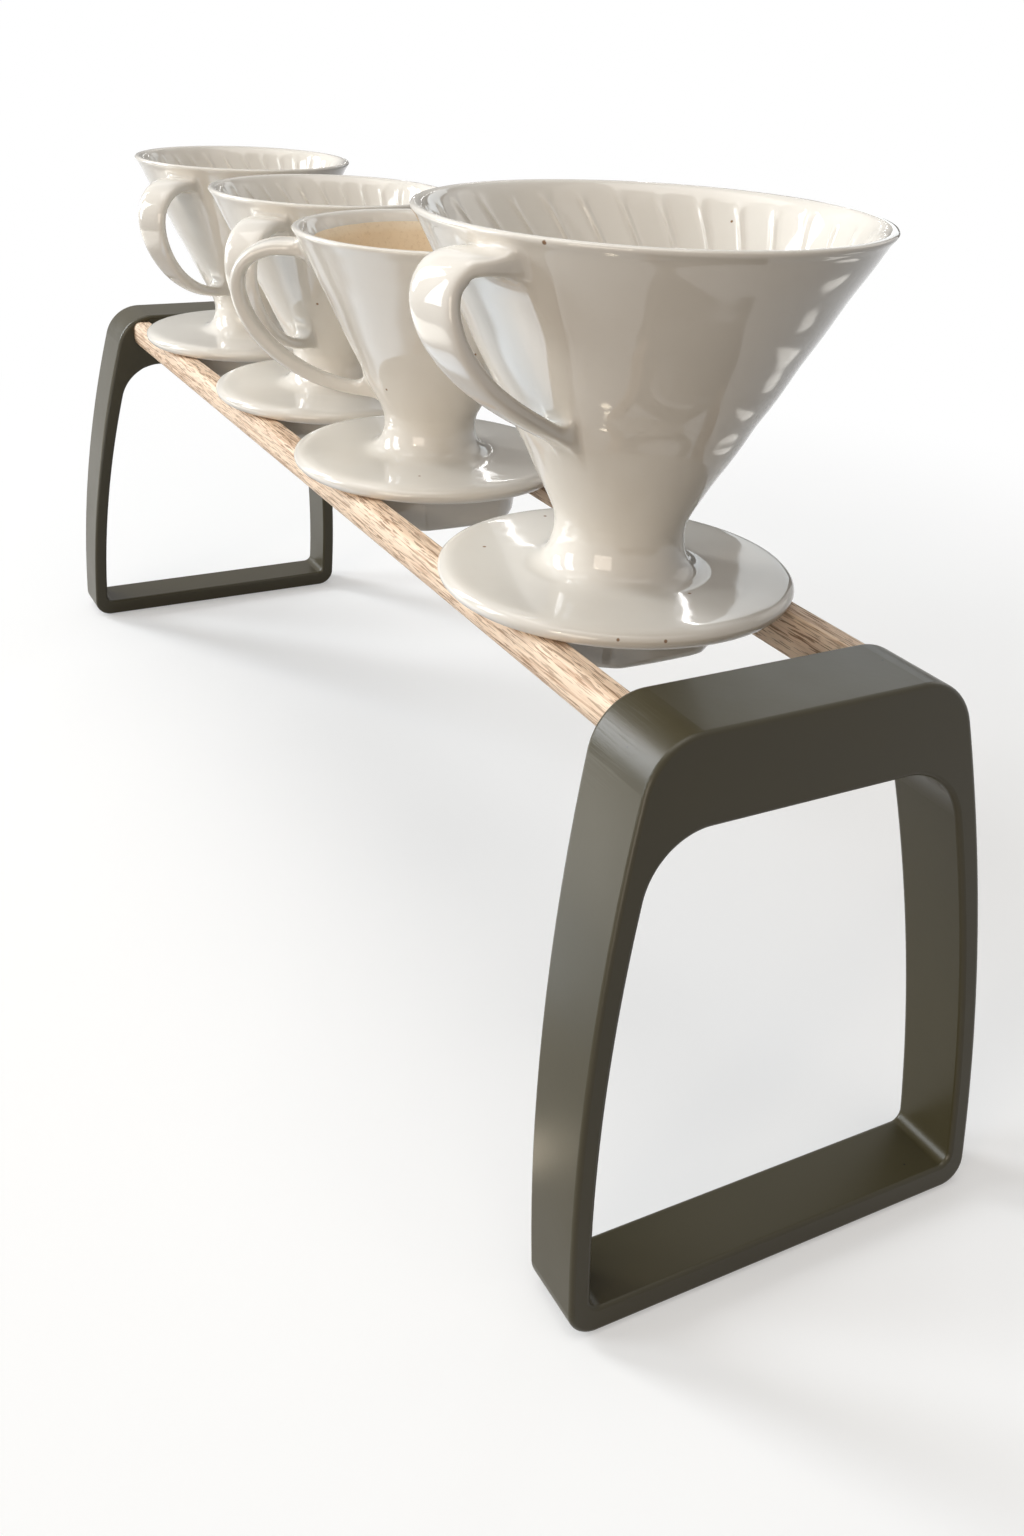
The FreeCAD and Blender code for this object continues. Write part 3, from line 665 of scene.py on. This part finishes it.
# %% Spin the wall and raise the ribs
COLUMNS = 150
RIBS = 30
RIB_TURN = math.radians(-50.0)
RIB_LIFT = 1.25
RIB_LIFT_SHARE = 0.09    # most that a rib takes of the radius where the cone is narrow
RIB_FLANK = 0.75         # mm from the crest to the foot of a rib
RIB_HEM = 1.5            # mm from the crest to where the wall is plain again
RIB_TOP = (3.2, 2.0)     # mm under the rim where a rib starts, and over which it rises
RIB_FOOT = (9.0, 6.0)    # mm above the rails where a rib ends, and over which it sinks
SPIRAL_TOP = 4.0         # mm under the rim
SPIRAL_FOOT = 10.0       # mm above the rails
SPIRAL_RATE = 1.02       # a little over 1, so that the turn is complete above the spiral's foot
UNDERSIDE = SKIRT_BORE - 1.0  # radius inside which the underside turns with the spiral


def spin_wall(shape, line):
    """Full turn of the closed line about the Z axis."""
    points = [shape.verts.new((r, 0.0, z)) for r, z in line]
    edges = [shape.edges.new(pair) for pair in zip(points, points[1:] + points[:1])]
    bmesh.ops.spin(shape, geom=points + edges, axis=(0, 0, 1), cent=(0, 0, 0), steps=COLUMNS,
                   angle=2 * math.pi, use_merge=True)
    shape.verts.ensure_lookup_table()


def column_of(vert):
    """Which of the spun columns a point is in."""
    return round(math.atan2(vert.co.y, vert.co.x) / (2 * math.pi) * COLUMNS) % COLUMNS


def clamp(value):
    return min(1.0, max(0.0, value))


def set_polar(vert, radius, angle):
    vert.co.x = radius * math.cos(angle)
    vert.co.y = radius * math.sin(angle)


def raise_ribs(shape, size):
    """Turn the inner wall's columns along the spiral and lift every fifth one."""
    top = size["height"]
    pitch = 2 * math.pi / COLUMNS
    for vert in shape.verts:
        radius = math.hypot(vert.co.x, vert.co.y)
        z = vert.co.z
        column = column_of(vert)
        angle = column * pitch
        if abs(z) < 0.5 and radius < UNDERSIDE:
            share = (UNDERSIDE - radius) / (UNDERSIDE - size["outlet"])
            set_polar(vert, radius, angle + RIB_TURN * min(1.0, share))
            continue
        if z <= 0.5 or radius >= cone_radius(size, z) - WALL * 0.7:
            continue
        depth = clamp((top - SPIRAL_TOP - z) / (top - SPIRAL_TOP - SPIRAL_FOOT))
        angle += RIB_TURN * min(1.0, depth * SPIRAL_RATE)
        fade = clamp((top - RIB_TOP[0] - z) / RIB_TOP[1]) * clamp((z - RIB_FOOT[0]) / RIB_FOOT[1])
        step = (column + 2) % (COLUMNS // RIBS) - 2
        if step == 0:
            radius -= min(RIB_LIFT, radius * RIB_LIFT_SHARE) * fade
        else:
            target = RIB_FLANK if abs(step) == 1 else RIB_HEM
            pull = abs(step) * pitch - min(abs(step) * pitch, target / radius)
            angle -= math.copysign(pull * fade, step)
        set_polar(vert, radius, angle)


def flatten_skirt(shape, turn):
    """Cut the skirt back to its two flats, which face along the rails."""
    spin = Matrix.Rotation(turn, 3, "Z")
    for vert in shape.verts:
        if vert.co.z < -0.2 and math.hypot(vert.co.x, vert.co.y) > SKIRT_BORE + 3.0:
            on_stand = spin @ vert.co
            on_stand.y = max(-SKIRT_FLAT, min(SKIRT_FLAT, on_stand.y))
            vert.co = spin.inverted() @ on_stand


# %% [markdown]
# The handle starts as a circle of 20 points pressed into a soft flat section. It is extruded
# ring by ring along its line, narrower towards the foot, and both ends are bridged into windows
# opened in the wall. The line is given as distance from the axis, height and width.

# %% Open a window in the wall
def open_window(shape, size, column, columns, rows):
    """Delete a patch of the outer wall and give back the edges round it."""
    first = column - columns / 2
    low, high = min(rows), max(rows)
    patch = []
    for face in shape.faces:
        centre = face.calc_center_median()
        if not low < centre.z < high:
            continue
        if math.hypot(centre.x, centre.y) < cone_radius(size, centre.z) - WALL * 0.5:
            continue
        place = math.atan2(centre.y, centre.x) / (2 * math.pi) * COLUMNS
        if 0 < (place - first) % COLUMNS < columns:
            patch.append(face)
    inside = set(patch)
    rim = [edge for edge in shape.edges if sum(face in inside for face in edge.link_faces) == 1]
    bmesh.ops.delete(shape, geom=patch, context="FACES")
    return rim


# %% Follow the strap's line
STRAP_RINGS = 26
STRAP_CURVE_STEPS = 12   # points between two marks of the strap's line


def strap_stations(size, lean):
    """Evenly spaced points, directions and widths along a smooth curve through the strap's marks."""
    marks = []
    last = len(size["strap"]) - 1
    for index, (reach, z, width) in enumerate(size["strap"]):
        angle = math.pi + lean(index / last)
        marks.append((Vector((reach * math.cos(angle), reach * math.sin(angle), z)), width))
    fine = []
    for i in range(last):
        before = marks[max(i - 1, 0)][0]
        here, ahead = marks[i][0], marks[i + 1][0]
        after = marks[min(i + 2, last)][0]
        for k in range(STRAP_CURVE_STEPS):
            t = k / STRAP_CURVE_STEPS
            point = 0.5 * (2 * here + (ahead - before) * t
                           + (2 * before - 5 * here + 4 * ahead - after) * t ** 2
                           + (3 * here - before - 3 * ahead + after) * t ** 3)
            fine.append((point, marks[i][1] + (marks[i + 1][1] - marks[i][1]) * t))
    fine.append(marks[-1])
    lengths = [0.0]
    for (a, _), (b, _) in zip(fine, fine[1:]):
        lengths.append(lengths[-1] + (b - a).length)
    stations = []
    for ring in range(STRAP_RINGS):
        goal = lengths[-1] * ring / (STRAP_RINGS - 1)
        i = max(k for k in range(len(fine) - 1) if lengths[k] <= goal + 1e-9)
        t = (goal - lengths[i]) / (lengths[i + 1] - lengths[i])
        point = fine[i][0].lerp(fine[i + 1][0], t)
        width = fine[i][1] + (fine[i + 1][1] - fine[i][1]) * t
        stations.append((point, (fine[i + 1][0] - fine[i][0]).normalized(), width))
    return stations


# %% Sweep the strap and bridge it into the wall
STRAP_POINTS = 20
STRAP_FLATNESS = 0.62    # 1 is an ellipse, less is closer to a rectangle
TOP_WINDOW_COLUMNS = 8


def ring_matrix(point, along, width, thick):
    """Place, turn and stretch for one ring of the strap."""
    sideways = Vector((point.y, -point.x, 0.0)).normalized()
    sideways = (sideways - along * sideways.dot(along)).normalized()
    across = along.cross(sideways)
    turn = Matrix((sideways * width / 2, across * thick / 2, along)).transposed()
    return Matrix.Translation(point) @ turn.to_4x4()


def add_strap(shape, size, lean):
    """Open both windows, sweep the strap and join its ends to the wall."""
    half = COLUMNS // 2
    top_rim = open_window(shape, size, half, TOP_WINDOW_COLUMNS, size["top_rows"])
    foot_column = half + round(lean(1.0) / (2 * math.pi) * COLUMNS)
    foot_rim = open_window(shape, size, foot_column, size["foot_columns"], size["foot_rows"])
    ring = bmesh.ops.create_circle(shape, segments=STRAP_POINTS, radius=1.0)["verts"]
    for vert in ring:
        vert.co.x = math.copysign(abs(vert.co.x) ** STRAP_FLATNESS, vert.co.x)
        vert.co.y = math.copysign(abs(vert.co.y) ** STRAP_FLATNESS, vert.co.y)
    first_edges = [e for e in shape.edges if e.verts[0] in ring and e.verts[1] in ring]
    ring_edges = first_edges
    stations = strap_stations(size, lean)
    placed = Matrix.Identity(4)
    for index, (point, along, width) in enumerate(stations):
        share = index / (len(stations) - 1)
        thick = size["thick"][0] + (size["thick"][1] - size["thick"][0]) * share
        goal = ring_matrix(point, along, width, thick)
        if index:
            made = bmesh.ops.extrude_edge_only(shape, edges=ring_edges)["geom"]
            ring = [g for g in made if isinstance(g, bmesh.types.BMVert)]
            ring_edges = [g for g in made if isinstance(g, bmesh.types.BMEdge)]
        bmesh.ops.transform(shape, matrix=goal @ placed.inverted(), verts=ring)
        placed = goal
    bmesh.ops.bridge_loops(shape, edges=top_rim + first_edges)
    bmesh.ops.bridge_loops(shape, edges=foot_rim + ring_edges)


# %% [markdown]
# A thrown cone isn't a perfect one: fingers leave shallow rings that climb it in a spiral. They
# are less than half a millimetre deep. They show on the cone's outline, and they break up the
# long reflections of the window.

# %% Throwing rings
RING_PITCH = 15.5        # mm
RING_DEPTH = 0.24
RING_FADE = 8.0          # mm over which the rings fade in and out
RIM_BAND = 5.0           # mm under the rim without rings


def throw_rings(shape, size):
    """Shallow spiral waves on the outside of the cone."""
    low, high = size["neck_height"], size["height"] - RIM_BAND
    for vert in shape.verts:
        z = vert.co.z
        radius = math.hypot(vert.co.x, vert.co.y)
        if not low < z < high or abs(radius - cone_radius(size, z)) > 0.4:
            continue
        angle = math.atan2(vert.co.y, vert.co.x)
        fade = min(1.0, (z - low) / RING_FADE, (high - z) / RING_FADE)
        wave = math.sin(2 * math.pi * z / RING_PITCH + angle) + 0.6 * math.sin(3 * angle + z / 9.0)
        set_polar(vert, radius + RING_DEPTH * fade * wave, angle)


# %% [markdown]
# All the work on a dripper is done round the origin, in millimetres. Then its normals are made
# to point outwards, and it is scaled to metres, turned by its handle's angle and lifted to its
# place on the rails. One level of subdivision is enough, because the line has points wherever
# the wall curves.

# %% Make the four drippers
def place_mesh(name, shape, place, turn, paint):
    """Smooth mesh object from a shape in mm, turned and put on the rails at a place in mm."""
    bmesh.ops.recalc_face_normals(shape, faces=shape.faces)
    for face in shape.faces:
        face.smooth = True
    lift = Matrix.Translation(Vector((*place, RAIL_TOP)) * MM)
    bmesh.ops.transform(shape, matrix=lift @ Matrix.Scale(MM, 4) @ Matrix.Rotation(turn, 4, "Z"),
                        verts=shape.verts)
    mesh = bpy.data.meshes.new(name)
    shape.to_mesh(mesh)
    shape.free()
    mesh.materials.append(paint)
    return add_object(name, mesh)


def make_dripper(name, node, size, place, angles):
    """One dripper; the angles in degrees are those of the handle's top, elbow and foot."""
    top, elbow, foot = (math.radians(a) for a in angles)

    def lean(share):
        """Turn of the strap against its top end, at a share of its length."""
        bend = (elbow - (2 * top + foot) / 3) * 27 / 4 * share * (1 - share) ** 2
        return (foot - top) * share + bend

    shape = bmesh.new()
    spin_wall(shape, wall_line(size))
    raise_ribs(shape, size)
    throw_rings(shape, size)
    flatten_skirt(shape, top)
    add_strap(shape, size, lean)
    bmesh.ops.remove_doubles(shape, verts=shape.verts, dist=0.001)
    open_edges = sum(1 for e in shape.edges if not e.is_manifold)
    piece = place_mesh(name, shape, place, top, glaze)
    finer = piece.modifiers.new("soft_clay", "SUBSURF")
    finer.levels = finer.render_levels = 1
    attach(piece, "root")
    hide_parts(node)
    print(name, "faces", len(piece.data.polygons), "open edges", open_edges)


SECOND_PLACE = (-2.4, 215.99)
DRIPPERS = (("glazed_dripper_1", "dripper_1", LARGE, (0.6, 103.99), (18, 15, 27)),
            ("glazed_dripper_2", "dripper_2", SMALL, SECOND_PLACE, (-27, -27, -27)),
            ("glazed_dripper_3", "dripper_3", SMALL, (0.0, 306.79), (39, 39, 39)),
            ("glazed_dripper_4", "dripper_4", SMALL, (0.0, 404.29), (36, 36, 36)))
for row in DRIPPERS:
    make_dripper(*row)

# %% [markdown]
# ## Paper filter
# A folded cone of unbleached paper stands in the second dripper. Its seam is folded over, so a
# strip of it is two sheets thick, and the paper keeps soft creases from the packet. It is spun
# from a straight line, its points are pushed along the creases, and a Solidify modifier gives
# the sheet its thickness.

# %% Spin, crease and thicken the paper
PAPER_COLUMNS = 160
PAPER_ROWS = 22
PAPER_SHEET = 0.35
PAPER_DROP = 3.5         # top edge below the rim
PAPER_GAP = 1.35         # from the wall, so that the paper lies on the ribs
PAPER_TIP = 0.6          # radius where the cone is closed
SEAM_ANGLES = (-0.95, -0.62)
SEAM_DEPTH = 0.4
CREASES = ((12, 0.9), (33, 0.5), (58, 1.1), (77, 0.6), (104, 0.9), (131, 1.0), (149, 0.5), (171, 0.8),
           (196, 1.1), (214, 0.6), (243, 0.9), (262, 0.7), (289, 1.0), (318, 0.6), (344, 0.9))
CREASE_WANDER = 5.0      # degrees
CREASE_WIDTH = 0.075     # half width in radians
CREASE_DEPTH = 0.45
EDGE_WAVE = 0.25


def crease_depth(angle, share):
    """How far the paper is pushed inwards near each crease."""
    depth = 0.0
    for centre, size in CREASES:
        wander = math.radians(centre + CREASE_WANDER * math.sin(share * 5.0 + centre))
        away = abs(math.atan2(math.sin(angle - wander), math.cos(angle - wander)))
        depth += size * max(0.0, 1.0 - away / CREASE_WIDTH)
    return depth * CREASE_DEPTH


def make_paper():
    """The creased cone with its seam, in the second dripper."""
    top = SMALL["height"] - PAPER_DROP
    outer = cone_radius(SMALL, top) - WALL - PAPER_GAP
    shape = bmesh.new()
    points = []
    for row in range(PAPER_ROWS + 1):
        radius = PAPER_TIP + (outer - PAPER_TIP) * row / PAPER_ROWS
        points.append(shape.verts.new((radius, 0.0, top - (outer - radius) / cone_slope(SMALL))))
    edges = [shape.edges.new(pair) for pair in zip(points, points[1:])]
    bmesh.ops.spin(shape, geom=points + edges, axis=(0, 0, 1), cent=(0, 0, 0), steps=PAPER_COLUMNS,
                   angle=2 * math.pi, use_merge=True)
    tip = [e for e in shape.edges if e.is_boundary and e.verts[0].co.z < top / 2]
    bmesh.ops.contextual_create(shape, geom=tip)
    for vert in shape.verts:
        radius = math.hypot(vert.co.x, vert.co.y)
        angle = math.atan2(vert.co.y, vert.co.x)
        share = radius / outer
        seam = SEAM_DEPTH if SEAM_ANGLES[0] < angle < SEAM_ANGLES[1] else 0.0
        set_polar(vert, radius - (crease_depth(angle, share) + seam) * share, angle)
        vert.co.z -= EDGE_WAVE * share ** 4 * (1 + math.sin(angle * 3.0 + 0.6))
    piece = place_mesh("creased_filter", shape, SECOND_PLACE, 0.0, filter_paper)
    sheet = piece.modifiers.new("sheet", "SOLIDIFY")
    sheet.thickness = PAPER_SHEET * MM
    sheet.offset = -1.0
    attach(piece, "root")
    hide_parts("paper_filter")
    print("filter faces", len(piece.data.polygons))


make_paper()
